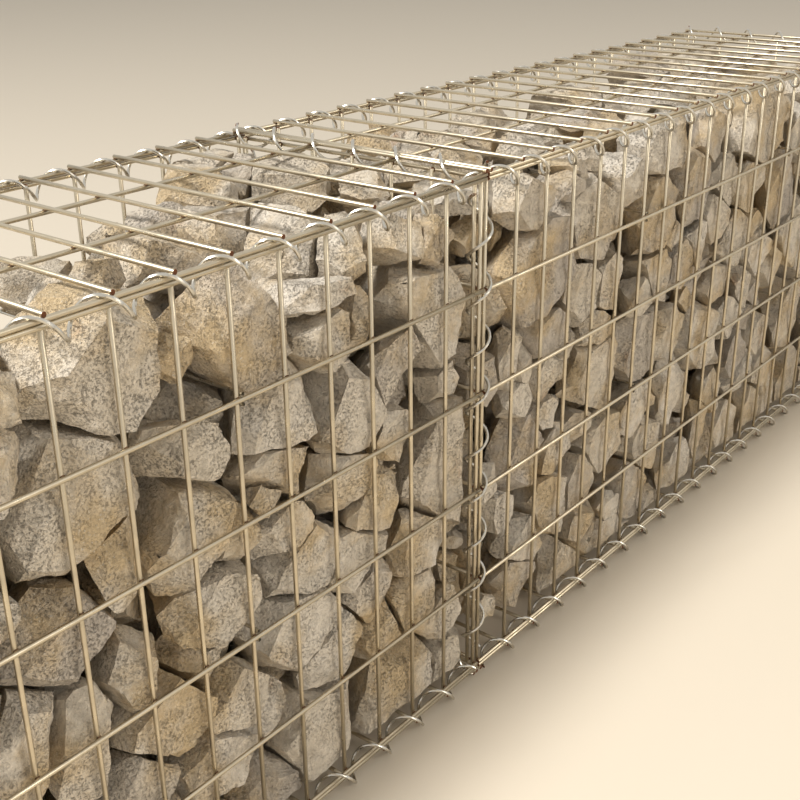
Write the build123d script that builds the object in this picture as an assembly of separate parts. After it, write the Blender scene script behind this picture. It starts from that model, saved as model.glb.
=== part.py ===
from build123d import *
from math import cos, pi, radians, sin, sqrt
import os

# A dry stone wall held in baskets of welded wire mesh. Two bays stand in line.
# X runs along the wall, Y into it from the front, Z up. Lengths are in millimetres.
# The origin is on the ground, under the middle of the wall.

# Bays
bay_count = 2
bay_length = 1000.0
bay_depth = 300.0
bay_height = 500.0
bay_gap = 7.5

# Mesh
mesh_wire = 4.0
fine_pitch = 50.0
coarse_pitch = 100.0
wire_overhang = 2.5
lid_seat = 0.5

# End panels and the partition between the bays
cross_panel_inset = 11.6
cross_panel_uprights = 7

# Lacing spirals
spiral_wire = 3.0
spiral_radius = 10.5
spiral_pitch = 50.0
spiral_sides = 8
spiral_seat = 0.3
spiral_end_room = 10.0
# Angle past the top at a cross wire, for the front and the back of a bay, in degrees
near_bay_phases = (60.0, 263.0)
far_bay_phases = (252.0, 117.0)
ground_phase = 115.0
corner_end_room = 12.0
seam_end_room = 2.0

# Hooked ties from the front mesh to the back mesh, by the number of the upright and the long wire
tie_wire = 3.0
tie_seat = 0.3
tie_columns = (6, 14)
tie_rows = (2, 4)
hook_tail = 4.0
hook_sides = 8

# Stone fill, with its drop below the highest long wire. Its top is nearly level as far as a crest,
# and falls away behind it, most of all in the left bay. Section by section along each bay: the share
# of the fill's depth that lies in front of the crest, and the drop at the back.
fill_clearance = 2.0
fill_floor_clearance = 0.5
fill_front_drop = 30.0
fill_crest_drop = 18.0
fill_slopes = (
    ((0.34, 205), (0.31, 235), (0.29, 255), (0.32, 262), (0.32, 250),
     (0.29, 240), (0.49, 200), (0.78, 48), (0.97, 20)),
    ((0.63, 130), (0.56, 140), (0.52, 148), (0.62, 120), (0.63, 105),
     (0.73, 70), (0.84, 40), (0.95, 26), (0.95, 28)),
)
tie_tunnel = 6.0

# A round wire is drawn as a square bar of the same section area.
area_square = sqrt(pi) / 2
bar = mesh_wire * area_square
lace = spiral_wire * area_square
tie_bar = tie_wire * area_square

# The wires divide each side of a bay evenly, and a spiral keeps step with the wires that it laces.
fine_spacing = bay_length / round(bay_length / fine_pitch)
row_spacing = bay_height / round(bay_height / coarse_pitch)
depth_spacing = bay_depth / round(bay_depth / coarse_pitch)
edge_pitch = spiral_pitch * fine_spacing / fine_pitch
corner_pitch = spiral_pitch * row_spacing / coarse_pitch
seam_pitch = spiral_pitch * depth_spacing / coarse_pitch

# Reach of a spiral's bore, taken at the inner corner of its bar half way along a side
vertex_radius = spiral_radius / sqrt(cos(pi / spiral_sides))
bore_reach = vertex_radius * cos(pi / spiral_sides) - lace / sqrt(2) - spiral_seat
outer_reach = vertex_radius + lace / sqrt(2)

# Heights above the lowest wire of the front mesh
lid_long_height = bay_height + bar + lid_seat
lid_cross_height = lid_long_height + bar
edge_axis_inset = 0.5
edge_axis_rise = sqrt(bore_reach**2 - (edge_axis_inset + bar / 2) ** 2)
edge_axis_height = lid_long_height + bar / 2 - edge_axis_rise
end_wire_offset = bay_gap / 2 + bar / 2
seam_axis_height = lid_cross_height + bar / 2 - sqrt(bore_reach**2 - end_wire_offset**2)
corner_axis_inset = cross_panel_inset + bar / 2 - sqrt(bore_reach**2 - bar**2)
# The spirals that lace the base lie as far below as those across the lid lie above.
base_axis_height = bay_height - seam_axis_height
bay_pitch = bay_length + bay_gap


def bay_left(bay):
    """X of the first upright wire of a bay, counted from the left."""
    return (bay - bay_count / 2) * bay_pitch + bay_gap / 2


def joint_x(joint):
    """X of the plane between two bays, or of an end of the wall."""
    return (joint - bay_count / 2) * bay_pitch


def steps(start, stop, pitch):
    """Evenly spaced places from start to stop, both included."""
    count = round((stop - start) / pitch)
    return [start + (stop - start) * i / count for i in range(count + 1)]


def rod(axis, length_from, length_to, first, second):
    """Square bar along an axis. The other two coordinates are its centre, in X, Y, Z order."""
    middle = (length_from + length_to) / 2
    length = length_to - length_from
    if axis == "X":
        return Pos(middle, first, second) * Box(length, bar, bar)
    if axis == "Y":
        return Pos(first, middle, second) * Box(bar, length, bar)
    return Pos(first, second, middle) * Box(bar, bar, length)


def welded(rods):
    """Bars that lie flush on each other, welded where they cross."""
    return rods[0].fuse(*rods[1:]).solid()


def wall_mesh():
    """Front mesh of a bay: long wires outside, closely spaced uprights behind them."""
    low = -bar / 2
    high = bay_height + bar / 2
    uprights = [rod("Z", low, high, x, bar) for x in steps(0, bay_length, fine_pitch)]
    left = -wire_overhang
    right = bay_length + wire_overhang
    long_wires = [rod("X", left, right, 0, z) for z in steps(0, bay_height, coarse_pitch)]
    return welded(long_wires + uprights)


def lid_mesh():
    """Lid of a bay: closely spaced cross wires on top of a few long wires."""
    front = -wire_overhang
    back = bay_depth + wire_overhang
    cross_wires = [rod("Y", front, back, x, bar) for x in steps(0, bay_length, fine_pitch)]
    left = -wire_overhang
    right = bay_length + wire_overhang
    long_wires = [rod("X", left, right, y, 0) for y in steps(0, bay_depth, coarse_pitch)]
    return welded(long_wires + cross_wires)


def cross_mesh():
    """Panel across the wall: uprights on one side of wires that run front to back."""
    front = cross_panel_inset
    back = bay_depth - cross_panel_inset
    low = -bar / 2
    high = bay_height + bar / 2
    spacing = (back - front) / (cross_panel_uprights - 1)
    uprights = [rod("Z", low, high, -bar / 2, y) for y in steps(front, back, spacing)]
    rails = [
        rod("Y", front - wire_overhang, back + wire_overhang, bar / 2, z)
        for z in steps(0, bay_height, coarse_pitch)
    ]
    return welded(rails + uprights)


def spiral(length, phase, pitch):
    """Right-handed spiral along +Z from the origin. Phase is its angle at the start, in degrees."""
    sides = round(length / pitch * spiral_sides)
    turn = 2 * pi / spiral_sides
    points = [
        Vector(
            vertex_radius * cos(radians(phase) + turn * i),
            vertex_radius * sin(radians(phase) + turn * i),
            pitch * i / spiral_sides,
        )
        for i in range(sides + 1)
    ]
    path = Polyline(*points)
    start = Plane(origin=points[0], x_dir=(0, 0, 1), z_dir=path % 0)
    return sweep(start * Rectangle(lace, lace), path=path, transition=Transition.RIGHT).solid()


def edge_spiral(phase, top):
    """Spiral along the front edge of a bay. Phase is its turn past the top at each cross wire."""
    start = spiral_end_room
    length = bay_length - 2 * spiral_end_room
    angle = phase + 360 * start / edge_pitch
    height = edge_axis_height if top else base_axis_height
    # The plane's X points up and its Z along the wall, so the angle grows from the top forwards.
    along = Plane(origin=(start, edge_axis_inset, height), x_dir=(0, 0, 1), z_dir=(1, 0, 0))
    return along * spiral(length, angle, edge_pitch)


def seam_spiral():
    """Spiral that laces the lid to a panel across the wall. It is at its top beside each long wire."""
    start = seam_end_room
    length = bay_depth - 2 * seam_end_room
    along = Plane(origin=(0, start, seam_axis_height), x_dir=(0, 0, 1), z_dir=(0, 1, 0))
    return along * spiral(length, 360 * start / seam_pitch, seam_pitch)


def corner_spiral():
    """Spiral up the front corner of a bay. It stands in front of each long wire that it passes."""
    start = corner_end_room
    length = bay_height - 2 * corner_end_room
    angle = 360 * start / corner_pitch - 90
    return Pos(0, corner_axis_inset, start) * spiral(length, angle, corner_pitch)


def hooked_tie():
    """Tie with a hook at each end, over the front and back wires of one row."""
    bend = (bar + tie_bar) / sqrt(2) + tie_seat
    corner = bend / cos(pi / hook_sides)
    turn = 2 * pi / hook_sides
    hook = [(hook_tail, -bend)]
    for i in range(hook_sides // 2):
        angle = -pi / 2 - turn * (i + 0.5)
        hook.append((corner * cos(angle), corner * sin(angle)))
    other_hook = [(bay_depth - y, z) for y, z in reversed(hook)]
    points = [Vector(0, y, z) for y, z in hook + other_hook]
    path = Polyline(*points)
    start = Plane(origin=points[0], x_dir=(1, 0, 0), z_dir=path % 0)
    section = start * Rectangle(tie_bar, tie_bar)
    return sweep(section, path=path, transition=Transition.RIGHT).solid()


def tie_places():
    """Places of a bay's ties: beside an upright, on the rows that they hold."""
    beside = (bar + tie_bar) / 2 + tie_seat
    return [(x * fine_spacing + beside, z * row_spacing) for x in tie_columns for z in tie_rows]


def stone_fill(bay):
    """Heap of stones in one bay, as one mass: high at the front and lower towards the back."""
    left = outer_reach - bay_gap / 2 + fill_floor_clearance
    right = bay_length - left
    front = bar * 1.5 + fill_clearance
    back = bay_depth - front
    bottom = -bar / 2 - lid_seat + fill_floor_clearance
    # The lower edges are cut back at 45 degrees, clear of the spirals that lace the base.
    edge_sum = edge_axis_inset + base_axis_height + (outer_reach + fill_floor_clearance) * sqrt(2)
    edge_height = edge_sum - front
    edge_depth = edge_sum - bottom
    slopes = fill_slopes[bay % len(fill_slopes)]
    sections = []
    for x, (crest_share, back_drop) in zip(steps(left, right, (right - left) / (len(slopes) - 1)), slopes):
        outline = [
            (x, front, edge_height),
            (x, edge_depth, bottom),
            (x, bay_depth - edge_depth, bottom),
            (x, back, edge_height),
            (x, back, bay_height - back_drop),
            (x, front + crest_share * (back - front), bay_height - fill_crest_drop),
            (x, front, bay_height - fill_front_drop),
        ]
        sections.append(Face(Wire.make_polygon(outline, close=True)))
    heap = loft(sections, ruled=True)
    rise = (bar + tie_bar) / sqrt(2) + tie_seat
    for x, z in tie_places():
        heap -= Pos(x, bay_depth / 2, z + rise) * Box(tie_tunnel, bay_depth, tie_tunnel)
    return heap.solid()


def turned(shape, axis):
    """The shape turned half a turn about an axis through the middle of a bay."""
    middle = (bay_length / 2, bay_depth / 2, bay_height / 2)
    return shape.rotate(Axis(middle, axis), 180)


def turned_across(shape, axis):
    """The shape turned half a turn about an axis through the middle of a panel across the wall."""
    return shape.rotate(Axis((0, bay_depth / 2, bay_height / 2), axis), 180)


def write(name, shapes):
    """One file for each node, moved so that the origin is under the middle of the wall."""
    placed = [Pos(0, -bay_depth / 2, -ground) * shape for shape in shapes]
    export_step(placed[0] if len(placed) == 1 else Compound(children=placed), f"parts/{name}.step")


os.makedirs("parts", exist_ok=True)

# Meshes and spirals that every bay repeats
front_mesh = wall_mesh()
back_mesh = turned(front_mesh, (0, 0, 1))
top_mesh = Pos(0, 0, lid_long_height) * lid_mesh()
base_mesh = turned(top_mesh, (0, 1, 0))
across_mesh = cross_mesh()
tie = hooked_tie()
base_spiral = edge_spiral(ground_phase, top=False)

# Spirals that every panel across the wall repeats
corner = corner_spiral()
top_seam = seam_spiral()
base_seam = turned_across(top_seam, (0, 1, 0))

# The wall stands on the undersides of the spirals that lace its base.
ground = min(shape.bounding_box().min.Z for shape in (base_spiral, base_seam))

for bay in range(bay_count):
    number = bay + 1
    place = Pos(bay_left(bay), 0, 0)
    phases = far_bay_phases if bay == bay_count - 1 else near_bay_phases
    top_front, top_back = (edge_spiral(phase, top=True) for phase in phases)
    write(f"front_panel_{number}", [place * front_mesh])
    write(f"back_panel_{number}", [place * back_mesh])
    write(f"lid_panel_{number}", [place * top_mesh])
    write(f"base_panel_{number}", [place * base_mesh])
    write(f"top_front_spiral_{number}", [place * top_front])
    write(f"top_back_spiral_{number}", [place * turned(top_back, (0, 0, 1))])
    write(f"bottom_front_spiral_{number}", [place * base_spiral])
    write(f"bottom_back_spiral_{number}", [place * turned(base_spiral, (0, 0, 1))])
    write(f"ties_{number}", [place * Pos(x, 0, z) * tie for x, z in tie_places()])
    write(f"stone_fill_{number}", [place * stone_fill(bay)])

# Panels across the wall, each laced to the lid, the base and the walls beside it
cross_panel_names = ["end_panel_left"]
cross_panel_names += [f"partition_{joint}" for joint in range(1, bay_count)]
cross_panel_names += ["end_panel_right"]
for joint, name in enumerate(cross_panel_names):
    place = Pos(joint_x(joint), 0, 0)
    write(name, [place * across_mesh])
    write(f"front_corner_spiral_{joint + 1}", [place * corner])
    write(f"back_corner_spiral_{joint + 1}", [place * turned_across(corner, (0, 0, 1))])
    write(f"lid_seam_spiral_{joint + 1}", [place * top_seam])
    write(f"base_seam_spiral_{joint + 1}", [place * base_seam])
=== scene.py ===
import math
import random
from collections import namedtuple

import bpy
from bpy.props import FloatProperty, FloatVectorProperty, IntProperty, PointerProperty
from mathutils import Matrix, Vector, kdtree


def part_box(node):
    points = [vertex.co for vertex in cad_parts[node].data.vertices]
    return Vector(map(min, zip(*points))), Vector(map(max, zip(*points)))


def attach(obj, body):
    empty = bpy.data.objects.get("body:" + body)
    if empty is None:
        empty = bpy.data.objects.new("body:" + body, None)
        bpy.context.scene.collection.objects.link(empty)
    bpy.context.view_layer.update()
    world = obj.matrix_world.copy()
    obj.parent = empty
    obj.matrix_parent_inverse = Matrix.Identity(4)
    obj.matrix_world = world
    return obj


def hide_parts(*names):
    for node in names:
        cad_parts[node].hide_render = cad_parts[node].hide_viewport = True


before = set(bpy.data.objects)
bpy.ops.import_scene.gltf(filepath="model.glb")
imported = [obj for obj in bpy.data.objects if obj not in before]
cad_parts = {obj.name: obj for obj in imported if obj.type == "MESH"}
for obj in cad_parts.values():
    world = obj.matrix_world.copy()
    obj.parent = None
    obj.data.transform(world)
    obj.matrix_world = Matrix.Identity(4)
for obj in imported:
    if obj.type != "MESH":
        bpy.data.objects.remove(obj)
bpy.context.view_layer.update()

bl_info = {
    "name": "Gabion Wall",
    "version": (1, 0, 0),
    "blender": (4, 5, 0),
    "location": "View3D > Sidebar > Gabion Wall",
    "description": "Builds the baskets, lacing spirals, ties and stones of a gabion wall on its CAD frame",
    "category": "Object",
}

MM = 0.001

# Axes, as indices of a place
X, Y, Z = 0, 1, 2

# Names of the wall's parts, as the frame has them
BAYS = (1, 2)
JOINTS = (1, 2, 3)
CROSS_PANELS = ("end_panel_left", "partition_1", "end_panel_right")

# Mesh of the baskets
FINE_PITCH = 50 * MM
COARSE_PITCH = 100 * MM
WIRE_OVERHANG = 2.5 * MM
CROSS_PANEL_UPRIGHTS = 7
# The frame draws a round wire as a square bar of the same section area.
SQUARE_OF_ROUND = math.sqrt(math.pi) / 2
# Chamfer of a cut end, and width and thickness of a weld bead, by the wire's radius
CUT_CHAMFER = 0.18
BEAD_WIDTH = 1.3
BEAD_THICKNESS = 0.6
# Least share of a face's normal along the wire on its cut face, and on the rim round that
FACE_ALONG = 0.9
RIM_ALONG = 0.3
WIRE_SHARP_ANGLE = math.radians(40)

# Lacing spirals
SPIRAL_RADIUS = 10.5 * MM
SPIRAL_PITCH = 50 * MM
LACING_SIDES = 8
# How far the axis of a top spiral lies below the middle of its box, and that of any edge spiral
# behind the outer long wire
SPIRAL_HANG = 1.2 * MM
EDGE_INSET = 0.5 * MM
# Length that a spiral lacks at each end of its edge, corner or seam
EDGE_END_ROOM = 10 * MM
CORNER_END_ROOM = 12 * MM
SEAM_END_ROOM = 2 * MM
# Angle of a spiral at the cross wire where it begins, in degrees: past the top for an edge, and past
# +X for a corner
TOP_EDGE_PHASES = {(1, "front"): 60, (1, "back"): 263, (2, "front"): 252, (2, "back"): 117}
BASE_EDGE_PHASE = 115
CORNER_PHASE = -90

# Hooked ties: beside an upright, with the hook's radius and its straight tail
TIE_BESIDE = 3.4 * MM
TIE_COLUMNS = (300 * MM, 700 * MM)
TIE_ROWS = (200 * MM, 400 * MM)
TIE_RISE = 4.2 * MM
HOOK_TAIL = 4 * MM
HOOK_STEPS = 8
MERGE_DISTANCE = 0.02 * MM
# Height of the middle of the lowest long wire above the panel's lower edge
LOW_WIRE_HEIGHT = 1.8 * MM

# The camera that the photograph was taken with, as its mesh crossings give it
CAMERA_PLACE = (-830.4 * MM, -712.8 * MM, 752.3 * MM)
CAMERA_AZIMUTH = 51.51
CAMERA_DEPRESSION = 23.82
CAMERA_ROLL = 0.58
SENSOR_WIDTH = 36.0
IMAGE_SIZE = 800
FOCAL_PIXELS = 1183.9


def linear(code):
    """Linear colour with full alpha from an sRGB hex code."""
    parts = [int(code[i:i + 2], 16) / 255 for i in (1, 3, 5)]
    return [c / 12.92 if c <= 0.04045 else ((c + 0.055) / 1.055) ** 2.4 for c in parts] + [1.0]


def length_property(name, description, default):
    return FloatProperty(
        name=name, description=description, default=default, min=0.0, unit="LENGTH", precision=4
    )


def colour_property(name, description, code):
    return FloatVectorProperty(
        name=name, description=description, default=linear(code), size=4, min=0.0, max=1.0, subtype="COLOR"
    )


class GabionWireSettings(bpy.types.PropertyGroup):
    """Sizes and colours of the wires."""

    mesh_wire: length_property("Mesh wire", "Diameter of the welded mesh wire", 4 * MM)
    lacing_wire: length_property("Lacing wire", "Diameter of the wire of the spirals and ties", 3 * MM)
    wire_sides: IntProperty(name="Wire sides", description="Sides of a round wire", default=10, min=6, max=24)
    turn_steps: IntProperty(
        name="Turn steps", description="Steps in one turn of a spiral", default=20, min=8, max=48
    )
    # The mesh wire's colour is pale zinc, warmed and darkened as a painted reflection of warm ground and dark
    # surroundings.
    zinc: colour_property("Zinc", "Colour of the galvanised wire", "#D2C6AE")
    bright_zinc: colour_property("Bright zinc", "Colour of the lacing wire", "#D4CFC4")
    weld_scale: colour_property("Weld scale", "Colour of a welded crossing", "#54402F")
    rust: colour_property("Rust", "Colour of a cut wire end", "#7B4A2B")


class GabionStoneSettings(bpy.types.PropertyGroup):
    """Sizes and colours of the stones."""

    gap: length_property("Gap", "Gap between two stones that lie against each other", 2 * MM)
    fine_grid: length_property("Fine grid", "Facet size of the stones of the near bay that show", 4.6 * MM)
    far_grid: length_property("Far grid", "Facet size of the stones of the far bay that show", 5.8 * MM)
    plain_grid: length_property("Plain grid", "Facet size of the other stones", 7.5 * MM)
    grow: FloatProperty(
        name="Grow", description="Size of a seen stone by its outline", default=1.24, min=0.5, max=2.0
    )
    spacing: length_property("Spacing", "Mean spacing of the stones that don't show", 66 * MM)
    rubble_spacing: length_property("Rubble spacing", "Spacing of the places tried for rubble", 34 * MM)
    cream: colour_property("Cream", "Colour of the palest limestone", "#F3EADC")
    beige: colour_property("Beige", "Colour of most limestone", "#E8DCC9")
    grey: colour_property("Grey", "Colour of the grey limestone", "#CDC3B7")
    skin: colour_property("Skin", "Colour of the weathered outer skin of a block", "#DAC197")
    crystal: colour_property("Crystal", "Colour of the bright crystals", "#F4EEE3")
    pit: colour_property("Pit", "Colour in the pits", "#87786A")
    stain: colour_property("Stain", "Colour of an iron stain", "#B37E49")


class GabionStageSettings(bpy.types.PropertyGroup):
    """Floor and light."""

    floor: colour_property("Floor", "Colour of the floor", "#EBE0CE")
    key_power: FloatProperty(name="Key", description="Power of the key light", default=490.0, unit="POWER")
    fill_power: FloatProperty(name="Fill", description="Power of the fill light", default=110.0, unit="POWER")
    sky: FloatProperty(name="Sky", description="Strength of the even light all round", default=0.43, min=0.0)


# Shared helpers


def deselect_all():
    if bpy.context.mode != "OBJECT":
        bpy.ops.object.mode_set(mode="OBJECT")
    bpy.ops.object.select_all(action="DESELECT")


def make_active(piece):
    deselect_all()
    piece.select_set(True)
    bpy.context.view_layer.objects.active = piece


def settle(piece):
    """Puts the object's place into its mesh, so that the object sits at the origin."""
    piece.data.transform(piece.matrix_basis)
    piece.matrix_basis = Matrix.Identity(4)
    piece.data.update()


def copied(piece, matrix):
    """A copy with its own mesh, moved by the matrix."""
    made = piece.copy()
    made.data = piece.data.copy()
    made.data.transform(matrix)
    bpy.context.collection.objects.link(made)
    return made


def joined(pieces):
    """Joins pieces that sit at the origin into one piece."""
    deselect_all()
    for piece in pieces:
        piece.select_set(True)
    bpy.context.view_layer.objects.active = pieces[0]
    if len(pieces) > 1:
        bpy.ops.object.join()
    return bpy.context.view_layer.objects.active


def finish_piece(piece, name, node, sharp_angle):
    """Names and shades a piece, hangs it on the root body, and hides the CAD node that it stands for."""
    piece.name = piece.data.name = name
    make_active(piece)
    bpy.ops.object.shade_smooth_by_angle(angle=sharp_angle)
    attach(piece, "root")
    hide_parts(node)


def middle_of(node, axis):
    """Middle of a CAD node along an axis."""
    return sum(corner[axis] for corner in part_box(node)) / 2


def apply_modifiers(piece):
    make_active(piece)
    for modifier in list(piece.modifiers):
        bpy.ops.object.modifier_apply(modifier=modifier.name)


def add_node(tree, kind, inputs=None, **settings):
    """Adds a node with its settings. An input is a value, or an output socket to link."""
    made = tree.nodes.new(kind)
    for name, value in settings.items():
        setattr(made, name, value)
    for name, value in (inputs or {}).items():
        if isinstance(value, bpy.types.NodeSocket):
            tree.links.new(value, made.inputs[name])
        else:
            made.inputs[name].default_value = value
    return made


def new_material(name):
    """A material of a name, emptied. Returns the material and its tree."""
    material = bpy.data.materials.get(name) or bpy.data.materials.new(name)
    material.use_nodes = True
    material.node_tree.nodes.clear()
    return material, material.node_tree


# Wires


def galvanised_wire(name, colour, roughness):
    """Drawn steel wire dipped in zinc: satin, with drips and dull patches along it."""
    material, tree = new_material(name)
    place = add_node(tree, "ShaderNodeTexCoord").outputs["Object"]
    # Dull patches about 15 mm long
    patches = add_node(
        tree, "ShaderNodeTexNoise", {"Vector": place, "Scale": 1 / (15 * MM), "Detail": 3.0}
    ).outputs["Fac"]
    dulled = add_node(
        tree, "ShaderNodeMapRange",
        {"Value": patches, "From Min": 0.35, "From Max": 0.7,
         "To Min": roughness - 0.08, "To Max": roughness + 0.14},
    ).outputs["Result"]
    shade = add_node(
        tree, "ShaderNodeMapRange",
        {"Value": patches, "From Min": 0.3, "From Max": 0.75, "To Min": 1.0, "To Max": 0.78},
    ).outputs["Result"]
    # The mesh wire's colour holds a painted reflection of warm ground on top of its zinc; the lacing wire's
    # colour is its own zinc.
    tint = add_node(
        tree, "ShaderNodeMix", {0: 1.0, 6: colour, 7: shade}, data_type="RGBA", blend_type="MULTIPLY"
    )
    # Zinc grain of about 1.2 mm
    grain = add_node(tree, "ShaderNodeTexNoise", {"Vector": place, "Scale": 1 / (1.2 * MM), "Detail": 1.0})
    bump = add_node(
        tree, "ShaderNodeBump", {"Height": grain.outputs["Fac"], "Strength": 0.12, "Distance": 0.3 * MM}
    )
    shader = add_node(
        tree, "ShaderNodeBsdfPrincipled",
        {"Base Color": tint.outputs[2], "Metallic": 1.0, "Roughness": dulled,
         "Normal": bump.outputs["Normal"]},
    )
    add_node(tree, "ShaderNodeOutputMaterial", {"Surface": shader.outputs["BSDF"]})
    return material


def mottled_steel(name, first, second, mottle_size, metallic, roughness):
    """Steel mottled between two colours."""
    material, tree = new_material(name)
    place = add_node(tree, "ShaderNodeTexCoord").outputs["Object"]
    mottle = add_node(tree, "ShaderNodeTexNoise", {"Vector": place, "Scale": 1 / mottle_size, "Detail": 2.0})
    tint = add_node(tree, "ShaderNodeMix", {0: mottle.outputs["Fac"], 6: first, 7: second}, data_type="RGBA")
    shader = add_node(
        tree, "ShaderNodeBsdfPrincipled",
        {"Base Color": tint.outputs[2], "Metallic": metallic, "Roughness": roughness},
    )
    add_node(tree, "ShaderNodeOutputMaterial", {"Surface": shader.outputs["BSDF"]})
    return material


def weld_scale_steel(colour):
    """Zinc burnt off at a spot weld: a dark scale with a dull shine, mottled at about 3 mm."""
    pale = [min(1.0, c * 2.2) for c in colour[:3]] + [1.0]
    return mottled_steel("burnt_zinc_weld", colour, pale, 3 * MM, 0.7, 0.6)


def rusted_cut_steel(colour):
    """Bare steel at a cut wire end: brown and matt, where no zinc covers it, mottled at about 1.5 mm."""
    dark = [c * 0.45 for c in colour[:3]] + [1.0]
    return mottled_steel("rusted_cut_steel", dark, colour, 1.5 * MM, 0.0, 0.85)


def lacing_finishes(wires):
    """Finishes of a spiral or tie: its wire, and its cut ends."""
    return [galvanised_wire("galvanised_lacing_wire", wires.bright_zinc, 0.26), rusted_cut_steel(wires.rust)]


# Finishes by their place in a piece's list: the wire is first, and the cut ends are last.
WIRE_FINISH = 0
WELD_FINISH = 1


def axis_turn(axis):
    """Turn that takes the Z axis to another."""
    target = Vector([float(i == axis) for i in range(3)])
    return Vector((0, 0, 1)).rotation_difference(target).to_matrix().to_4x4()


def half_turn(axis, middle):
    """Half a turn about an axis through a place."""
    return Matrix.Translation(middle) @ Matrix.Rotation(math.pi, 4, axis) @ Matrix.Translation(-middle)


def half_bar(wires):
    """Half the width of the square bars that the frame has for mesh wires."""
    return wires.mesh_wire * SQUARE_OF_ROUND / 2


def new_piece(materials):
    """The primitive just added, with its finishes, before any face is assigned to one."""
    piece = bpy.context.active_object
    for material in materials:
        piece.data.materials.append(material)
    return piece


def finish_faces(piece, is_cut):
    """Gives each face the finish of a cut end, or else that of the wire."""
    cut_finish = len(piece.data.materials) - 1
    for polygon in piece.data.polygons:
        polygon.material_index = cut_finish if is_cut(polygon) else WIRE_FINISH


def straight_wire(radius, sides, length, axis, middle, materials):
    """Round wire along an axis, with a rusted rim and face at each cut end."""
    deselect_all()
    bpy.ops.mesh.primitive_cylinder_add(vertices=sides, radius=radius, depth=length)
    wire = new_piece(materials)
    for polygon in wire.data.polygons:
        polygon.select = abs(polygon.normal.z) > FACE_ALONG
    bpy.ops.object.mode_set(mode="EDIT")
    bpy.ops.mesh.select_mode(type="FACE")
    bpy.ops.mesh.bevel(offset=radius * CUT_CHAMFER, segments=1, affect="EDGES")
    bpy.ops.object.mode_set(mode="OBJECT")
    finish_faces(wire, lambda polygon: abs(polygon.normal.z) > RIM_ALONG)
    wire.matrix_basis = Matrix.Translation(middle) @ axis_turn(axis)
    settle(wire)
    return wire


def weld_bead(radius, thin_axis, materials):
    """Squeezed bead of metal in the crossing of two wires."""
    deselect_all()
    bpy.ops.mesh.primitive_uv_sphere_add(segments=6, ring_count=4, radius=1.0)
    bead = new_piece(materials)
    size = [radius * BEAD_WIDTH] * 3
    size[thin_axis] = radius * BEAD_THICKNESS
    bead.matrix_basis = Matrix.Diagonal((*size, 1.0))
    settle(bead)
    for polygon in bead.data.polygons:
        polygon.material_index = WELD_FINISH
    return bead


def evenly(start, stop, count):
    return [start + (stop - start) * i / (count - 1) for i in range(count)]


def shifted(places, piece, axis):
    """Copies of a piece that stands at the first place along an axis, one at each of the others."""
    made = []
    for place in places[1:]:
        offset = [0.0, 0.0, 0.0]
        offset[axis] = place - places[0]
        made.append(copied(piece, Matrix.Translation(offset)))
    return made


def welded_mesh(node, rail_axis, bar_axis, rails_low, rail_margin, bar_count, wires, materials):
    """Welded mesh in the place of a CAD node: rails on one side of closely spaced bars."""
    low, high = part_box(node)
    thin_axis = X + Y + Z - rail_axis - bar_axis
    radius = wires.mesh_wire / 2
    rail_place = low[thin_axis] + half_bar(wires)
    bar_place = high[thin_axis] - half_bar(wires)
    if not rails_low:
        rail_place, bar_place = bar_place, rail_place
    rail_count = round((high[bar_axis] - low[bar_axis] - 2 * rail_margin) / COARSE_PITCH) + 1
    rails = evenly(low[bar_axis] + rail_margin, high[bar_axis] - rail_margin, rail_count)
    bars = evenly(low[rail_axis] + WIRE_OVERHANG, high[rail_axis] - WIRE_OVERHANG, bar_count)
    made = []
    for along, across, layer, places in (
        (rail_axis, bar_axis, rail_place, rails),
        (bar_axis, rail_axis, bar_place, bars),
    ):
        middle = (low + high) / 2
        middle[thin_axis] = layer
        middle[across] = places[0]
        wire = straight_wire(radius, wires.wire_sides, high[along] - low[along], along, middle, materials)
        made += [wire] + shifted(places, wire, across)
    bead = weld_bead(radius, thin_axis, materials)
    for rail_at in rails:
        for bar_at in bars:
            place = [0.0, 0.0, 0.0]
            place[thin_axis] = (rail_place + bar_place) / 2
            place[bar_axis] = rail_at
            place[rail_axis] = bar_at
            made.append(copied(bead, Matrix.Translation(place)))
    bpy.data.objects.remove(bead)
    finish_piece(joined(made), "round_" + node, node, WIRE_SHARP_ANGLE)


class GABION_OT_welded_meshes(bpy.types.Operator):
    """Builds the front, back, lid, base and cross panels of welded wire"""

    bl_idname = "gabion.welded_meshes"
    bl_label = "Build welded meshes"

    def execute(self, context):
        wires = context.scene.gabion_wires
        materials = [
            # The mesh wire's zinc colour carries a painted reflection: it is warmed and darkened to look like
            # warm ground seen in the metal.
            galvanised_wire("galvanised_mesh_wire_painted_reflection", wires.zinc, 0.34),
            weld_scale_steel(wires.weld_scale),
            rusted_cut_steel(wires.rust),
        ]
        low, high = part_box("front_panel_1")
        bars = round((high.x - low.x - 2 * WIRE_OVERHANG) / FINE_PITCH) + 1
        for bay in BAYS:
            for side, axis, rails_low, margin in (
                ("front", Z, True, half_bar(wires)),
                ("back", Z, False, half_bar(wires)),
                ("lid", Y, True, WIRE_OVERHANG),
                ("base", Y, False, WIRE_OVERHANG),
            ):
                welded_mesh(f"{side}_panel_{bay}", X, axis, rails_low, margin, bars, wires, materials)
        for node in CROSS_PANELS:
            welded_mesh(node, Y, Z, False, half_bar(wires), CROSS_PANEL_UPRIGHTS, wires, materials)
        return {"FINISHED"}


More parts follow.
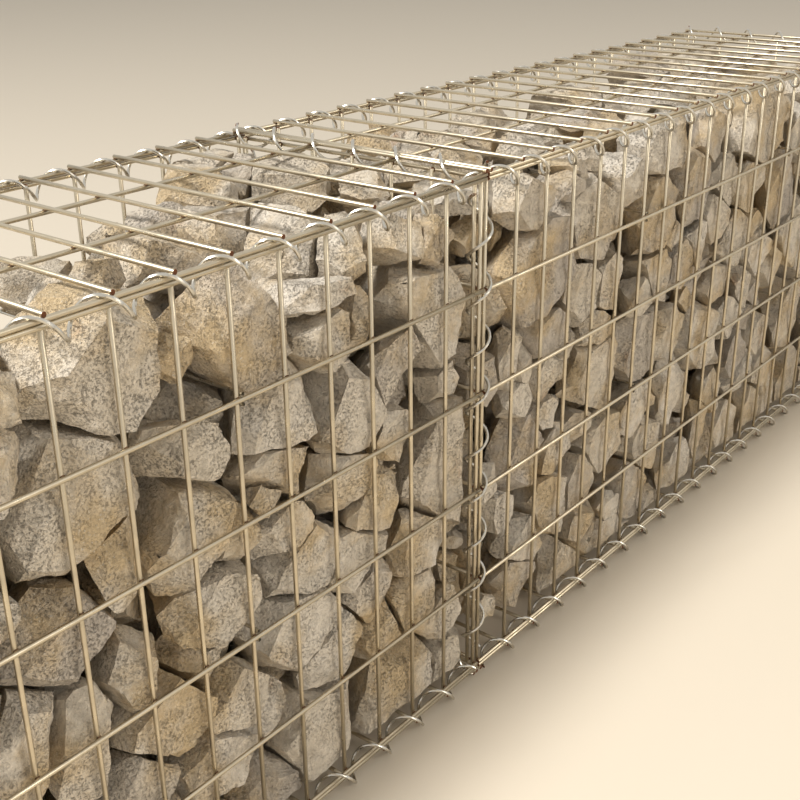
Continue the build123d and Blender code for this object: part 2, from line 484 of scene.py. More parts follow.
def wound_wire(length, phase, skipped, wires, materials):
    """Right-handed spiral along +Z from the origin, cut square at both ends. Phase is its angle in
    degrees at a place that lies the skipped length before the origin."""
    radius = wires.lacing_wire / 2
    # The section lies in a plane through the axis, so it is drawn taller by the slope of the wire.
    slope = math.atan(SPIRAL_PITCH / (2 * math.pi * SPIRAL_RADIUS))
    deselect_all()
    bpy.ops.mesh.primitive_circle_add(vertices=LACING_SIDES, radius=radius, rotation=(math.pi / 2, 0, 0))
    wire = new_piece(materials)
    # It is wound from a turn before the origin to past its end, and then cut.
    start = -SPIRAL_PITCH
    angle = math.radians(phase + 360 * skipped / SPIRAL_PITCH) + 2 * math.pi * start / SPIRAL_PITCH
    wire.matrix_basis = (
        Matrix.Rotation(angle, 4, "Z")
        @ Matrix.Translation((SPIRAL_RADIUS, 0, start))
        @ Matrix.Diagonal((1, 1, 1 / math.cos(slope), 1))
        @ wire.matrix_basis
    )
    settle(wire)
    screw = wire.modifiers.new("wind", "SCREW")
    screw.axis = "Z"
    screw.screw_offset = SPIRAL_PITCH
    screw.iterations = math.ceil(length / SPIRAL_PITCH) + 2
    screw.steps = wires.turn_steps
    screw.render_steps = wires.turn_steps
    screw.use_merge_vertices = True
    apply_modifiers(wire)
    bpy.ops.object.mode_set(mode="EDIT")
    for height, outward in ((0, -1), (length, 1)):
        bpy.ops.mesh.select_all(action="SELECT")
        bpy.ops.mesh.bisect(
            plane_co=(0, 0, height), plane_no=(0, 0, outward), use_fill=True, clear_outer=True
        )
    bpy.ops.mesh.select_all(action="SELECT")
    bpy.ops.mesh.normals_make_consistent(inside=False)
    bpy.ops.object.mode_set(mode="OBJECT")
    finish_faces(wire, is_cap)
    return wire


def is_cap(polygon):
    """Whether a face closes the end of a bent wire: its sides have four corners at most."""
    return len(polygon.vertices) > 4


def finish_lacing(piece, node):
    finish_piece(piece, "round_" + node, node, WIRE_SHARP_ANGLE)


def frame_of(x_axis, y_axis, z_axis, origin):
    """Matrix with these axes as its columns, at an origin."""
    rows = Matrix((x_axis, y_axis, z_axis)).transposed().to_4x4()
    return Matrix.Translation(origin) @ rows


class GABION_OT_lacing_spirals(bpy.types.Operator):
    """Winds the spirals that lace the panels together along the edges, corners and seams"""

    bl_idname = "gabion.lacing_spirals"
    bl_label = "Build lacing spirals"

    def execute(self, context):
        wires = context.scene.gabion_wires
        materials = lacing_finishes(wires)
        for bay in BAYS:
            for edge in ("top", "bottom"):
                for side in ("front", "back"):
                    self.lace_edge(bay, edge, side, wires, materials)
        for joint, panel in zip(JOINTS, CROSS_PANELS):
            self.lace_joint(joint, panel, wires, materials)
        return {"FINISHED"}

    def lace_edge(self, bay, edge, side, wires, materials):
        """Winds the spiral along a top or bottom edge of a bay."""
        node = f"{edge}_{side}_spiral_{bay}"
        low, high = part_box(f"front_panel_{bay}")
        top = edge == "top"
        place = Vector((
            low.x + WIRE_OVERHANG + EDGE_END_ROOM,
            low.y + half_bar(wires) + EDGE_INSET,
            middle_of(node, Z) - (SPIRAL_HANG if top else 0.0),
        ))
        length = high.x - low.x - 2 * WIRE_OVERHANG - 2 * EDGE_END_ROOM
        phase = TOP_EDGE_PHASES[bay, side] if top else BASE_EDGE_PHASE
        piece = wound_wire(length, phase, EDGE_END_ROOM, wires, materials)
        # Local X points up and Z along the wall, so the angle grows from the top forwards.
        piece.data.transform(frame_of((0, 0, 1), (0, -1, 0), (1, 0, 0), place))
        if side == "back":
            piece.data.transform(half_turn("Z", Vector((middle_of(f"front_panel_{bay}", X), 0, 0))))
        finish_lacing(piece, node)

    def lace_joint(self, joint, panel, wires, materials):
        """Winds the spirals up the corners and across the lid and base, where a cross panel stands."""
        joint_x = middle_of(panel, X)
        low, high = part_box(panel)
        bottom = low.z + half_bar(wires)
        top = high.z - half_bar(wires)
        length = top - bottom - 2 * CORNER_END_ROOM
        corner = wound_wire(length, CORNER_PHASE, CORNER_END_ROOM, wires, materials)
        corner_y = middle_of(f"front_corner_spiral_{joint}", Y)
        corner.data.transform(Matrix.Translation((joint_x, corner_y, bottom + CORNER_END_ROOM)))
        low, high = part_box("lid_panel_1")
        length = high.y - low.y - 2 * WIRE_OVERHANG - 2 * SEAM_END_ROOM
        seam = wound_wire(length, 0, SEAM_END_ROOM, wires, materials)
        place = (joint_x, low.y + WIRE_OVERHANG + SEAM_END_ROOM, middle_of(f"lid_seam_spiral_{joint}", Z))
        seam.data.transform(frame_of((0, 0, 1), (1, 0, 0), (0, 1, 0), place))
        middle = Vector((joint_x, 0, (bottom + top) / 2))
        finish_lacing(copied(corner, half_turn("Z", middle)), f"back_corner_spiral_{joint}")
        finish_lacing(corner, f"front_corner_spiral_{joint}")
        finish_lacing(copied(seam, half_turn("Y", middle)), f"base_seam_spiral_{joint}")
        finish_lacing(seam, f"lid_seam_spiral_{joint}")


def hooked_tie(x, row_height, front, back, wires, materials):
    """Tie across a bay: a hook round the front wire, a straight rod, and a hook round the back wire."""
    deselect_all()
    bpy.ops.mesh.primitive_circle_add(
        vertices=LACING_SIDES, radius=wires.lacing_wire / 2,
        location=(x, front + HOOK_TAIL, row_height - TIE_RISE), rotation=(math.pi / 2, 0, 0),
    )
    tie = new_piece(materials)
    settle(tie)
    bpy.ops.object.mode_set(mode="EDIT")
    bpy.ops.mesh.select_all(action="SELECT")
    bpy.ops.mesh.extrude_region_move(TRANSFORM_OT_translate={"value": (0, -HOOK_TAIL, 0)})
    bpy.ops.mesh.spin(steps=HOOK_STEPS, angle=-math.pi, center=(x, front, row_height), axis=(1, 0, 0))
    bpy.ops.mesh.extrude_region_move(TRANSFORM_OT_translate={"value": (0, back - front, 0)})
    bpy.ops.mesh.spin(steps=HOOK_STEPS, angle=-math.pi, center=(x, back, row_height), axis=(1, 0, 0))
    bpy.ops.mesh.extrude_region_move(TRANSFORM_OT_translate={"value": (0, -HOOK_TAIL, 0)})
    bpy.ops.mesh.select_all(action="SELECT")
    bpy.ops.mesh.remove_doubles(threshold=MERGE_DISTANCE)
    # The two open ends are closed.
    bpy.ops.mesh.select_mode(type="EDGE")
    bpy.ops.mesh.select_all(action="DESELECT")
    bpy.ops.mesh.select_non_manifold(
        extend=False, use_wire=False, use_multi_face=False, use_non_contiguous=False
    )
    bpy.ops.mesh.edge_face_add()
    bpy.ops.mesh.select_all(action="SELECT")
    bpy.ops.mesh.normals_make_consistent(inside=False)
    bpy.ops.object.mode_set(mode="OBJECT")
    finish_faces(tie, is_cap)
    return tie


class GABION_OT_hooked_ties(bpy.types.Operator):
    """Bends the ties that hold the front and back meshes together"""

    bl_idname = "gabion.hooked_ties"
    bl_label = "Build hooked ties"

    def execute(self, context):
        wires = context.scene.gabion_wires
        materials = lacing_finishes(wires)
        for bay in BAYS:
            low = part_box(f"front_panel_{bay}")[0]
            front = low.y + half_bar(wires)
            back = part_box(f"back_panel_{bay}")[1].y - half_bar(wires)
            ties = []
            for column in TIE_COLUMNS:
                for row in TIE_ROWS:
                    x = low.x + WIRE_OVERHANG + column + TIE_BESIDE
                    ties.append(hooked_tie(x, low.z + half_bar(wires) + row, front, back, wires, materials))
            finish_lacing(joined(ties), f"ties_{bay}")
        return {"FINISHED"}


# Stones

# A stone as the photograph shows it, with its middle, width and height in pixels. It may lean, in
# degrees, and lie deeper behind the face of the heap, in millimetres.
Seen = namedtuple("Seen", "across down width height lean deeper", defaults=(0, 0))

NEAR_FRONT_STONES = {
    "top_left_boulder": (80, 365, 150, 140),
    "pitted_boulder": (57, 487, 122, 180, 10),
    "left_edge_block": (-20, 475, 50, 90),
    "hexagonal_boulder": (222, 330, 120, 108),
    "wedge_under_boulder": (170, 358, 35, 45, 0, 10),
    "sunk_stone": (185, 410, 75, 55, 0, 60),
    "leaning_slab": (262, 405, 80, 104, 35),
    "streaked_slab": (185, 450, 98, 50, -5),
    "grey_slab": (263, 470, 85, 55, 12),
    "square_block": (182, 527, 90, 110),
    "small_chock": (262, 500, 28, 30),
    "round_block": (228, 530, 55, 60, 0, 12),
    "gold_slab": (275, 527, 85, 42, 18),
    "narrow_upright": (112, 560, 38, 110, 8),
    "grey_top_block": (48, 632, 102, 105),
    "left_upright": (20, 745, 48, 115),
    "dark_block": (78, 732, 62, 120, 5),
    "shaded_block": (125, 670, 55, 75, 0, 8),
    "gold_block": (155, 708, 98, 90),
    "broad_block": (205, 600, 95, 85),
    "brown_sunk_stone": (182, 655, 55, 50, 0, 25),
    "brown_block": (232, 695, 68, 62),
    "orange_block": (210, 755, 90, 70),
    "bottom_block": (135, 785, 70, 60),
    "rounded_triangle": (292, 556, 88, 72),
    "hook_block": (285, 620, 95, 85),
    "dark_diagonal": (325, 645, 50, 85, -20, 8),
    "tall_block": (303, 725, 72, 118),
    "two_faced_block": (383, 682, 78, 115),
    "pointed_stone": (362, 585, 50, 65),
    "dark_pitted_stone": (345, 550, 75, 70),
    "gold_wedge": (363, 500, 57, 68, 10),
    "grey_and_gold_slab": (335, 475, 90, 58, 12),
    "corner_upright": (432, 462, 95, 120),
    "gold_grey_top": (410, 545, 55, 68),
    "grey_diagonal": (408, 588, 45, 80, 35),
    "brown_pitted": (435, 612, 62, 45),
    "gold_with_grey_top": (460, 578, 55, 40, -15),
    "corner_sunk_stone": (452, 548, 40, 50, 0, 15),
    "pale_rounded": (438, 662, 45, 78),
    "corner_rubble": (467, 640, 25, 50, 0, 10),
    "stained_boulder": (408, 310, 118, 110),
    "corner_stone": (462, 338, 40, 70, 0, 8),
    "bright_wedge": (352, 318, 30, 60, 0, 10),
    "bright_stone": (315, 335, 60, 68, 0, 5),
    "long_thin_slab": (383, 367, 36, 118, -38),
    "right_edge_block": (340, 405, 104, 98),
    "brown_chock": (384, 430, 48, 52),
    "flat_slab": (305, 296, 100, 30, 0, 8),
    "low_block": (262, 785, 60, 60, 0, 10),
    "low_chock": (338, 760, 46, 40, 0, 12),
}

NEAR_TOP_STONES = {
    "flat_top_left": (24, 286, 66, 44),
    "small_pink": (94, 283, 40, 36),
    "broad_top": (152, 264, 80, 46),
    "round_back": (110, 242, 44, 30),
    "shaded_top": (160, 234, 64, 40),
    "peak": (203, 160, 46, 36),
    "peak_shoulder": (198, 196, 64, 52),
    "middle_top": (212, 244, 78, 58),
    "peak_neighbour": (242, 184, 36, 52),
    "far_flat": (252, 157, 46, 24),
    "rough_flat": (278, 188, 88, 50),
    "round_boulder": (283, 250, 78, 80),
    "round_neighbour": (339, 252, 42, 66),
    "bright_flat": (346, 178, 66, 32),
    "back_flat": (370, 154, 66, 24),
    "front_bright": (366, 196, 48, 36),
    "grey_round": (388, 238, 60, 46),
    "bright_upright": (430, 240, 42, 44),
    "corner_gold": (460, 248, 46, 88),
    "corner_top": (446, 200, 60, 34),
    "corner_back": (412, 170, 54, 30),
    "left_back": (60, 305, 60, 30),
    "joint_back": (428, 150, 62, 32),
    "joint_middle": (452, 162, 56, 30),
    "back_by_partition": (392, 142, 56, 24),
}

FAR_FRONT_STONES = {
    "white_top_block": (524, 202, 56, 46),
    "thin_top": (567, 172, 48, 16),
    "shaded_gap_stone": (566, 186, 30, 26, 0, 15),
    "white_boulder": (576, 222, 92, 88),
    "pitted_upright": (646, 212, 58, 88),
    "brown_boulder": (526, 268, 76, 108, -30),
    "bright_edged": (576, 290, 40, 62),
    "grey_upright": (602, 281, 34, 62),
    "brown_wedge": (650, 270, 56, 46),
    "grey_chock": (636, 297, 34, 32),
    "grey_and_gold": (538, 334, 74, 50, 20),
    "dark_stone": (594, 326, 38, 34),
    "brown_upright": (632, 345, 40, 76),
    "brown_back": (668, 325, 30, 56),
    "round_grey": (503, 359, 26, 58),
    "small_dark": (519, 366, 20, 36, 0, 8),
    "brown_stone": (542, 374, 34, 50),
    "gold_left": (512, 398, 38, 38),
    "brown_low": (541, 411, 36, 34),
    "gold_diagonal": (586, 364, 62, 80, 25),
    "gold_large": (513, 450, 52, 76),
    "round_gold": (549, 447, 34, 44),
    "dark_recess": (568, 424, 40, 34, 0, 20),
    "pitted_block": (593, 442, 48, 56),
    "pointed_grey": (627, 405, 40, 52),
    "gold_slab": (636, 440, 56, 44),
    "brown_and_grey": (664, 388, 38, 60),
    "gold_front": (538, 500, 72, 62),
    "grey_top_stone": (570, 480, 50, 48),
    "grey_right": (618, 488, 62, 48),
    "grey_pointed": (672, 461, 46, 44),
    "low_gold": (515, 539, 54, 46, 15),
    "low_block": (507, 577, 42, 48),
    "grey_leaning": (551, 571, 54, 68, 30),
    "low_grey": (573, 526, 40, 30),
    "low_brown": (600, 530, 40, 46),
    "pale_wedge": (512, 616, 56, 28),
    "low_chock": (606, 506, 28, 26),
    "top_gold": (652, 147, 76, 50),
    "shaded_top": (709, 136, 32, 46),
    "rounded_grey": (689, 182, 36, 66),
    "white_front": (722, 182, 34, 50),
    "large_shaded": (753, 126, 64, 72),
    "round_far": (744, 186, 32, 48),
    "brown_far": (774, 190, 42, 70),
    "bright_far": (796, 128, 24, 44),
    "gold_pillar": (708, 216, 36, 56),
    "white_gold": (694, 240, 24, 46),
    "dark_far": (730, 236, 40, 48),
    "gold_wedge": (669, 236, 22, 30, 0, 6),
    "brown_long": (672, 264, 54, 40),
    "gold_square": (711, 284, 32, 36),
    "gold_small": (681, 299, 24, 24),
    "grey_gold": (690, 335, 48, 58),
    "tan_block": (725, 316, 32, 38),
    "tan_upright": (739, 286, 26, 38),
    "mid_far": (752, 250, 40, 42),
    "right_far": (786, 232, 36, 54),
    "gold_low_far": (729, 353, 34, 40),
    "brown_far_low": (755, 330, 26, 38),
    "grey_far": (780, 312, 42, 62),
    "mixed_far": (756, 366, 34, 40),
    "grey_low_far": (705, 392, 32, 46),
    "gold_upright_far": (692, 426, 20, 62),
    "low_grey_far": (718, 424, 36, 50),
    "low_brown_far": (742, 411, 34, 58),
    "beige_block": (779, 376, 44, 54),
    "edge_far": (808, 330, 36, 60),
    "top_edge_far": (815, 200, 40, 60),
}

FAR_TOP_STONES = {
    "round_boulder_top": (566, 106, 70, 34),
    "left_top": (492, 124, 34, 26),
    "middle_top": (577, 128, 54, 30),
    "low_top": (531, 131, 36, 18),
    "near_top": (517, 150, 54, 28),
    "chock_top": (545, 144, 26, 16),
    "far_middle": (622, 106, 48, 24),
    "back_block": (634, 70, 52, 30),
    "broad_far": (664, 100, 60, 30),
    "right_top": (706, 92, 50, 28),
    "far_one": (690, 62, 50, 22),
    "far_two": (740, 76, 54, 24),
    "far_three": (782, 88, 46, 26),
    "far_four": (742, 50, 44, 18),
    "far_five": (782, 60, 40, 18),
    "front_low": (576, 160, 40, 22),
    "back_low": (610, 136, 44, 24),
    "corner_top": (480, 144, 44, 30),
    "back_left": (472, 128, 40, 26),
}

# A stone in the wall: centre, half sizes along its own axes, its turn, a tone from 0 to 1, its facet
# size, and its rank: a stone gives way to one of a lower rank.
Stone = namedtuple("Stone", "centre half turn tone grid rank", defaults=(0,))
FILLING = 1
RUBBLE = 2

STONE_SEED = 41
STONE_SHARP_ANGLE = math.radians(35)
PIECE_TRIANGLES = 150000
HEAP_BOXES = {bay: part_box(f"stone_fill_{bay}") for bay in BAYS}

# A seen stone: half depth by the mean of its outline's halves, between two limits, how far its centre
# lies behind the face of the heap and before the back mesh, by its half depth, and how far it turns
# about its Y and X axes, in radians
DEPTH_SHARES = (0.8, 1.05)
DEPTH_LIMITS = (16 * MM, 60 * MM)
SINK = 1.05
BACK_SHARE = 0.6
WOBBLES = (0.35, 0.3)
# Nothing is laid before a seen stone, out to this far from it, in the middle of its outline.
SIGHT_ROOM = 250 * MM
SIGHT_START = 0.2
SIGHT_SHARE = 0.9

# Places tried for the other stones, by their step: a layer's shift and height, and how far a stone
# strays from its place
LAYER_SHIFT = 0.4
LAYER_START = 0.45
STRAY = 0.2
# Their half size by the step, each of its three by that, and their turns in radians
HALF_SHARES = {FILLING: (0.5, 0.68), RUBBLE: (0.5, 0.75)}
FORM_SHARES = (0.8, 1.15)
SPIN = 1.5
TILT = 0.5
# Least depth in the heap and least room to stones of a lower and of the same rank, by the half size
COVER_SHARE = 0.35
ROOM_BELOW = 0.4
ROOM_BESIDE = 0.3
# The core of the heap doesn't show. It lies within this of the middle, and this deep.
CORE_HALF_WIDTH = 60 * MM
CORE_DEPTH = 110 * MM
# Side of the cells in which room for a stone is looked for, wider than a stone and its room reach
ROOM_CELL = 120 * MM

# Room for the rough form of a face in front of the mesh, a spiral or a tie
FACE_ROOM = 2.2 * MM
# Least distance of a tie's cut from a stone's centre, by the stone's reach
TIE_BITE = 0.45
NO_DISTANCE = 0.1 * MM
# Half the thickness of a cross panel with its room, and the spirals' distance from the wall's middle
CROSS_PANEL_ROOM = 5 * MM
EDGE_SPIRAL_Y = 149.5 * MM
CORNER_SPIRAL_Y = 143.7 * MM

# A stone's chips: how many, how far each strays round the stone and in its lean, and its distance
# from the centre by the stone's reach
CHIP_COUNT = 8
CHIP_SWING = 0.4
CHIP_STRAY = 0.3
CHIP_SHARES = (0.78, 1.0)
# A neighbour or wall further off than this, by the stone's reach, doesn't cut it.
NEIGHBOUR_SHARE = 1.2
WALL_SHARE = 1.3
THINNEST_STONE = 2 * MM
# The block that a stone is cut from, by the stone, and the fit of its grid to the facet size
BLOCK_SHARE = 1.02
GRID_FIT = 0.98
GRID_LIMIT = 0.99
# Height in a texture that leaves the surface where it is
MID_LEVEL = 0.62


def camera_turn():
    """Turn of the camera: it looks along its own -Z axis."""
    return (
        Matrix.Rotation(-math.radians(CAMERA_AZIMUTH), 3, "Z")
        @ Matrix.Rotation(math.pi / 2 - math.radians(CAMERA_DEPRESSION), 3, "X")
        @ Matrix.Rotation(-math.radians(CAMERA_ROLL), 3, "Z")
    )


def sight_line(across, down):
    """Direction from the camera through a place in the photograph, in pixels."""
    half = IMAGE_SIZE / 2
    local = Vector(((across - half) / FOCAL_PIXELS, (half - down) / FOCAL_PIXELS, -1.0))
    return (camera_turn() @ local).normalized()


def heap_hit(direction):
    """Where a line from the camera first meets the heap of stones, or None."""
    start = Vector(CAMERA_PLACE)
    hits = []
    for bay in BAYS:
        found, place, _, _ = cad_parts[f"stone_fill_{bay}"].ray_cast(start, direction)
        if found:
            hits.append(place)
    return min(hits, key=lambda place: (place - start).length) if hits else None


def seen_stone(sight, grid, chance, stones):
    """The stone that the photograph shows at a place: it fills its outline there and lies in the heap."""
    direction = sight_line(sight.across, sight.down)
    start = Vector(CAMERA_PLACE)
    back = HEAP_BOXES[1][1].y
    hit = heap_hit(direction) or start + direction * ((back - start.y) / direction.y)
    away = (hit - start).length
    half_width = stones.grow * sight.width / 2 * away / FOCAL_PIXELS
    half_height = stones.grow * sight.height / 2 * away / FOCAL_PIXELS
    half_depth = (half_width + half_height) / 2 * chance.uniform(*DEPTH_SHARES)
    half_depth = min(max(half_depth, DEPTH_LIMITS[0]), DEPTH_LIMITS[1])
    sunk = SINK * half_depth + sight.deeper * MM
    # A stone by the back mesh sinks only as far as there is room for it.
    sunk = min(sunk, (back - BACK_SHARE * half_depth - hit.y) / direction.y)
    lean = Matrix.Rotation(math.radians(sight.lean), 3, "Z")
    wobble_y, wobble_x = (
        Matrix.Rotation(chance.uniform(-most, most), 3, axis) for axis, most in zip("YX", WOBBLES)
    )
    turn = camera_turn() @ lean @ (wobble_y @ wobble_x)
    half = Vector((half_width, half_height, half_depth))
    return Stone(hit + direction * sunk, half, turn, chance.random(), grid)


def inside_heap(place, depth):
    """Whether a place lies in the heap, at least this deep under its top."""
    for bay in BAYS:
        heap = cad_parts[f"stone_fill_{bay}"]
        low, high = HEAP_BOXES[bay]
        if not all(low[i] <= place[i] <= high[i] for i in (X, Y, Z)):
            continue
        above = Vector((place.x, place.y, high.z + COARSE_PITCH))
        found, top, _, _ = heap.ray_cast(above, Vector((0, 0, -1)))
        if found and place.z <= top.z - depth:
            return True
    return False


def reach(stone, direction):
    """How far a stone reaches from its centre in a direction."""
    local = stone.turn.transposed() @ direction
    return math.sqrt(sum((stone.half[i] * local[i]) ** 2 for i in (X, Y, Z)))


def stands_before(place, stone):
    """Whether something at a place would hide a seen stone from the camera."""
    view = (stone.centre - Vector(CAMERA_PLACE)).normalized()
    aside = place - stone.centre
    along = aside.dot(view)
    if not -SIGHT_ROOM < along < -SIGHT_START * stone.half.z:
        return False
    local = stone.turn.transposed() @ (aside - view * along)
    return (local.x / stone.half.x) ** 2 + (local.y / stone.half.y) ** 2 < SIGHT_SHARE


def lattice(step):
    """Places through both baskets, with each second layer shifted."""
    low = Vector(HEAP_BOXES[1][0])
    high = Vector(HEAP_BOXES[2][1])
    columns = round((high.x - low.x) / step)
    rows = round((high.y - low.y) / step)
    for level in range(round((high.z - low.z) / step) + 1):
        for row in range(rows):
            for column in range(columns):
                yield Vector((
                    low.x + (column + 0.5 + LAYER_SHIFT * (level % 2)) * (high.x - low.x) / columns,
                    low.y + (row + 0.5) * (high.y - low.y) / rows,
                    low.z + (level + LAYER_START) * step,
                ))


def cells_round(place, rings=0):
    """Cells of a coarse grid at a place, and in so many rings round it."""
    spread = range(-rings, rings + 1)
    x, y, z = (math.floor(c / ROOM_CELL) for c in place)
    return [(x + i, y + j, z + k) for i in spread for j in spread for k in spread]


def has_room(place, size, rank, near, seen):
    """Whether a stone of a half size would neither crowd another nor stand before a seen one."""
    for cell in cells_round(place, 1):
        for other in near.get(cell, ()):
            aside = place - other.centre
            share = ROOM_BELOW if other.rank < rank else ROOM_BESIDE
            if aside.length <= reach(other, aside.normalized()) + share * size:
                return False
    return not any(stands_before(place, other) for other in seen)


def filling_stones(seen, chance, stones):
    """Stones that the photograph doesn't show, wherever the heap has room: stones first, then rubble."""
    made = []
    near = {}
    for stone in seen:
        near.setdefault(cells_round(stone.centre)[0], []).append(stone)
    for rank, step in ((FILLING, stones.spacing), (RUBBLE, stones.rubble_spacing)):
        for place in lattice(step):
            place += Vector([chance.uniform(-STRAY, STRAY) * step for _ in range(3)])
            size = step * chance.uniform(*HALF_SHARES[rank])
            half = Vector([size * chance.uniform(*FORM_SHARES) for _ in range(3)])
            turn = Matrix.Rotation(chance.uniform(-SPIN, SPIN), 3, "Z")
            turn = turn @ Matrix.Rotation(chance.uniform(-TILT, TILT), 3, "X")
            tone = chance.random()
            if not inside_heap(place, size * COVER_SHARE):
                continue
            # The core needs no rubble, and only coarse stones.
            in_core = abs(place.y) < CORE_HALF_WIDTH and inside_heap(place, CORE_DEPTH)
            if in_core and rank == RUBBLE:
                continue
            if has_room(place, size, rank, near, seen):
                grid = 2 * stones.plain_grid if in_core else stones.plain_grid
                stone = Stone(place, half, turn, tone, grid, rank)
                made.append(stone)
                near.setdefault(cells_round(place)[0], []).append(stone)
    return made


def tie_lines(bay):
    """X and Z of each tie's rod in a bay."""
    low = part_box(f"front_panel_{bay}")[0]
    return [
        (low.x + WIRE_OVERHANG + column + TIE_BESIDE, low.z + row + TIE_RISE + LOW_WIRE_HEIGHT)
        for column in TIE_COLUMNS for row in TIE_ROWS
    ]


def clear_of_ties(stone, bay, wires):
    """The stone, moved aside if a tie would pass through its middle, and the cuts that ties give it."""
    centre = stone.centre.copy()
    cuts = []
    for x, z in tie_lines(bay):
        aside = Vector((x - centre.x, 0, z - centre.z))
        if aside.length < NO_DISTANCE:
            aside = Vector((0, 0, NO_DISTANCE))
        outward = aside.normalized()
        reached = reach(stone, outward)
        if aside.length > reached + FACE_ROOM + wires.lacing_wire:
            continue
        short = TIE_BITE * reached - aside.length
        if short > 0:
            centre -= outward * short
        cuts.append((outward, max(aside.length, TIE_BITE * reached) - wires.lacing_wire / 2 - FACE_ROOM))
    return stone._replace(centre=centre), cuts


def basket_walls(bay, wires):
    """Planes that hold a bay's stones: the meshes, and a chamfer clear of each spiral. Each is an
    outward normal and its distance from the origin."""
    # A round wire stands this far out of the bar that the frame has for it.
    proud = (wires.mesh_wire - wires.mesh_wire * SQUARE_OF_ROUND) / 2
    joints = [(end, middle_of(panel, X)) for end, panel in zip((-1, 1), CROSS_PANELS[bay - 1:])]
    walls = [
        (Vector((0, -1, 0)), -(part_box(f"front_panel_{bay}")[1].y + proud + FACE_ROOM)),
        (Vector((0, 1, 0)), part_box(f"back_panel_{bay}")[0].y - proud - FACE_ROOM),
        (Vector((0, 0, -1)), -(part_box(f"base_panel_{bay}")[1].z + FACE_ROOM)),
        (Vector((0, 0, 1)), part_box(f"lid_panel_{bay}")[0].z - FACE_ROOM),
    ]
    walls += [(Vector((end, 0, 0)), end * joint_x - CROSS_PANEL_ROOM) for end, joint_x in joints]
    top_z = middle_of(f"top_front_spiral_{bay}", Z)
    base_z = middle_of(f"bottom_front_spiral_{bay}", Z)
    seam_z = middle_of("lid_seam_spiral_1", Z)
    spirals = []
    for side in (-1, 1):
        spirals.append(((0, side, 1), (0, side * EDGE_SPIRAL_Y, top_z)))
        spirals.append(((0, side, -1), (0, side * EDGE_SPIRAL_Y, base_z)))
        for end, joint_x in joints:
            spirals.append(((end, side, 0), (joint_x, side * CORNER_SPIRAL_Y, 0)))
    for end, joint_x in joints:
        spirals.append(((end, 0, 1), (joint_x, 0, seam_z)))
        spirals.append(((end, 0, -1), (joint_x, 0, base_z)))
    for outward, axis in spirals:
        outward = Vector(outward).normalized()
        clear = SPIRAL_RADIUS + wires.lacing_wire / 2 + FACE_ROOM
        walls.append((outward, outward.dot(Vector(axis)) - clear))
    return walls


def cuts_for(stone, neighbours, walls, cuts, chance, stones):
    """Planes that shape a stone, each as its outward normal and its distance from the centre."""
    cuts = list(cuts)
    # Chips face all ways, evenly, because each turns from the last by the golden angle.
    golden_angle = math.pi * (3 - math.sqrt(5))
    for i in range(CHIP_COUNT):
        height = 1 - 2 * (i + 0.5) / CHIP_COUNT
        angle = i * golden_angle + chance.uniform(-CHIP_SWING, CHIP_SWING)
        ring = math.sqrt(max(0.0, 1 - height * height))
        local = Vector((ring * math.cos(angle), ring * math.sin(angle), height))
        stray = Vector([chance.uniform(-CHIP_STRAY, CHIP_STRAY) for _ in range(3)])
        outward = (stone.turn @ (local + stray).normalized()).normalized()
        cuts.append((outward, reach(stone, outward) * chance.uniform(*CHIP_SHARES)))
    for other in neighbours:
        between = other.centre - stone.centre
        away = between.length
        outward = between / away
        mine = reach(stone, outward)
        theirs = reach(other, outward)
        distance = away * mine / (mine + theirs)
        if stone.rank < other.rank:
            distance = max(distance, mine)
        elif stone.rank > other.rank:
            distance = min(distance, away - theirs)
        distance -= stones.gap / 2
        if distance < mine * NEIGHBOUR_SHARE:
            cuts.append((outward, distance))
    for outward, limit in walls:
        distance = limit - outward.dot(stone.centre)
        if distance < reach(stone, outward) * WALL_SHARE:
            cuts.append((outward, distance))
    return cuts


def broken_stone(stone, cuts, textures):
    """Cuts a block to the planes, and gives it the fine form of broken limestone."""
    deselect_all()
    bpy.ops.mesh.primitive_cube_add(
        size=2.0, location=stone.centre, rotation=stone.turn.to_euler(), scale=stone.half * BLOCK_SHARE
    )
    piece = bpy.context.active_object
    bpy.ops.object.mode_set(mode="EDIT")
    for outward, distance in cuts:
        bpy.ops.mesh.select_all(action="SELECT")
        bpy.ops.mesh.bisect(
            plane_co=stone.centre + outward * distance, plane_no=outward, use_fill=True, clear_outer=True
        )
    bpy.ops.object.mode_set(mode="OBJECT")
    settle(piece)
    if len(piece.data.vertices) < 4:
        bpy.data.objects.remove(piece)
        return None
    places = [vertex.co for vertex in piece.data.vertices]
    spans = [[place[axis] for place in places] for axis in (X, Y, Z)]
    widest = max(max(span) - min(span) for span in spans)
    # An even grid that keeps the broken edges sharp
    remesh = piece.modifiers.new("even grid", "REMESH")
    remesh.mode = "SHARP"
    remesh.octree_depth = max(2, math.ceil(math.log2(widest / stone.grid / GRID_FIT)))
    remesh.scale = min(GRID_LIMIT, widest / (stone.grid * 2 ** remesh.octree_depth))
    remesh.use_smooth_shade = True
    for texture, strength in textures:
        rough = piece.modifiers.new(texture.name, "DISPLACE")
        rough.texture = texture
        rough.texture_coords = "LOCAL"
        rough.strength = strength
        rough.mid_level = MID_LEVEL
    apply_modifiers(piece)
    tone = piece.data.attributes.new("tone", "FLOAT", "POINT")
    tone.data.foreach_set("value", [stone.tone] * len(piece.data.vertices))
    # Finished stones wait outside the scene, which keeps each operator quick.
    bpy.context.collection.objects.unlink(piece)
    return piece


